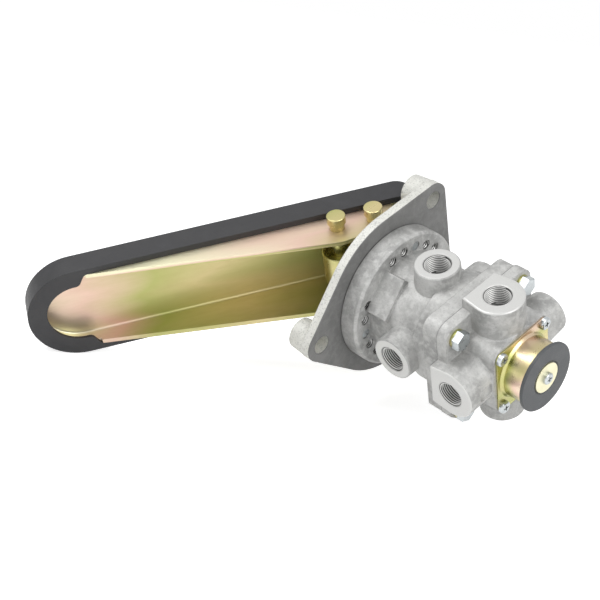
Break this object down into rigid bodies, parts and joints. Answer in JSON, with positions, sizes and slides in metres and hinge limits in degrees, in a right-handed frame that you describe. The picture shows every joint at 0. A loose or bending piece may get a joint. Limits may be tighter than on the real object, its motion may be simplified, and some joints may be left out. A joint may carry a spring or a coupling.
{
  "type": "treadle brake valve",
  "caption": "Floor-mounted dual-circuit air brake foot valve: an inclined rubber-covered treadle presses a plunger in a cast valve body with radial pipe ports and an exhaust flap.",
  "frame": {"origin": "centre of the mounting plate's floor-side face, on the valve axis", "axes": "+Z along the valve axis from the body towards the treadle, +Y towards the treadle's toe, +X along the hinge pin to the clip end"},
  "size_m": [0.111, 0.2271, 0.299],
  "materials": {
    "cast_aluminium": "blasted die casting",
    "machined_aluminium": "turned",
    "yellow_zinc_steel": "yellow zinc plated, iridescent",
    "bright_zinc_steel": "clear zinc plated",
    "spring_steel": "ground",
    "rubber": "matt moulded",
    "valve_brass": "turned"
  },
  "bodies": {
    "housing": {"fulcrum_pin": "yellow_zinc_steel", "fulcrum_pin_clip": "yellow_zinc_steel", "exhaust_cover": "yellow_zinc_steel", "flap_washer": "yellow_zinc_steel", "body_lock_washers": "yellow_zinc_steel", "mounting_plate": "cast_aluminium", "upper_body": "cast_aluminium", "lower_body": "cast_aluminium", "plate_screws": "bright_zinc_steel", "body_bolts": "bright_zinc_steel", "port_plugs": "bright_zinc_steel", "cover_screws": "bright_zinc_steel", "flap_screw": "bright_zinc_steel", "exhaust_flap": "rubber", "stop_button": "rubber", "plunger_boot": "rubber", "body_seal_ring": "rubber", "primary_retainer": "machined_aluminium", "secondary_retainer": "machined_aluminium", "piston_return_spring": "spring_steel", "primary_valve_spring": "spring_steel", "relay_spring": "spring_steel", "secondary_valve_spring": "spring_steel", "primary_snap_ring": "spring_steel", "secondary_snap_ring": "spring_steel"},
    "treadle": {"treadle_channel": "yellow_zinc_steel", "treadle_cover": "rubber", "roller_pin": "yellow_zinc_steel", "roller_pin_clip": "yellow_zinc_steel"},
    "roller": {"treadle_roller": "yellow_zinc_steel"},
    "plunger_group": {"plunger": "spring_steel", "spring_seat": "machined_aluminium"},
    "primary_piston_group": {"primary_piston": "machined_aluminium", "primary_piston_ring": "rubber", "rubber_spring": "rubber"},
    "primary_valve_group": {"primary_valve": "valve_brass"},
    "relay_piston_group": {"relay_piston": "machined_aluminium", "relay_piston_ring": "rubber"},
    "secondary_valve_group": {"secondary_valve": "valve_brass"}
  },
  "joints": [
    {"name": "treadle_hinge", "type": "hinge", "parent": "housing", "child": "treadle", "pos_m": [0, -0.0202, 0.0297], "axis": [-1, 0, 0], "range_deg": [0, 18], "stiffness_Nm_per_rad": 6, "springref_deg": -22.92},
    {"name": "roller_spin", "type": "hinge", "parent": "treadle", "child": "roller", "pos_m": [0, -0.00002, 0.04251], "axis": [1, 0, 0], "continuous": true},
    {"name": "plunger_slide", "type": "slide", "parent": "housing", "child": "plunger_group", "axis": [0, 0, -1], "range_m": [0, 0.0069], "deforming": ["plunger_boot", "rubber_spring"]},
    {"name": "primary_piston_slide", "type": "slide", "parent": "housing", "child": "primary_piston_group", "axis": [0, 0, -1], "range_m": [0, 0.0031], "deforming": ["piston_return_spring"]},
    {"name": "primary_valve_slide", "type": "slide", "parent": "housing", "child": "primary_valve_group", "axis": [0, 0, -1], "range_m": [0, 0.0021], "deforming": ["primary_valve_spring"]},
    {"name": "relay_piston_slide", "type": "slide", "parent": "housing", "child": "relay_piston_group", "axis": [0, 0, -1], "range_m": [0, 0.0025], "deforming": ["relay_spring"]},
    {"name": "secondary_valve_slide", "type": "slide", "parent": "housing", "child": "secondary_valve_group", "axis": [0, 0, -1], "range_m": [0, 0.0015], "deforming": ["secondary_valve_spring"]}
  ],
  "couplings": [
    {"joint": "plunger_slide", "follows": "treadle_hinge", "m_per_rad": 0.021844},
    {"joint": "primary_piston_slide", "follows": "treadle_hinge", "m_per_rad": 0.009549},
    {"joint": "primary_valve_slide", "follows": "treadle_hinge", "m_per_rad": 0.006366},
    {"joint": "relay_piston_slide", "follows": "treadle_hinge", "m_per_rad": 0.007639},
    {"joint": "secondary_valve_slide", "follows": "treadle_hinge", "m_per_rad": 0.004456}
  ]
}
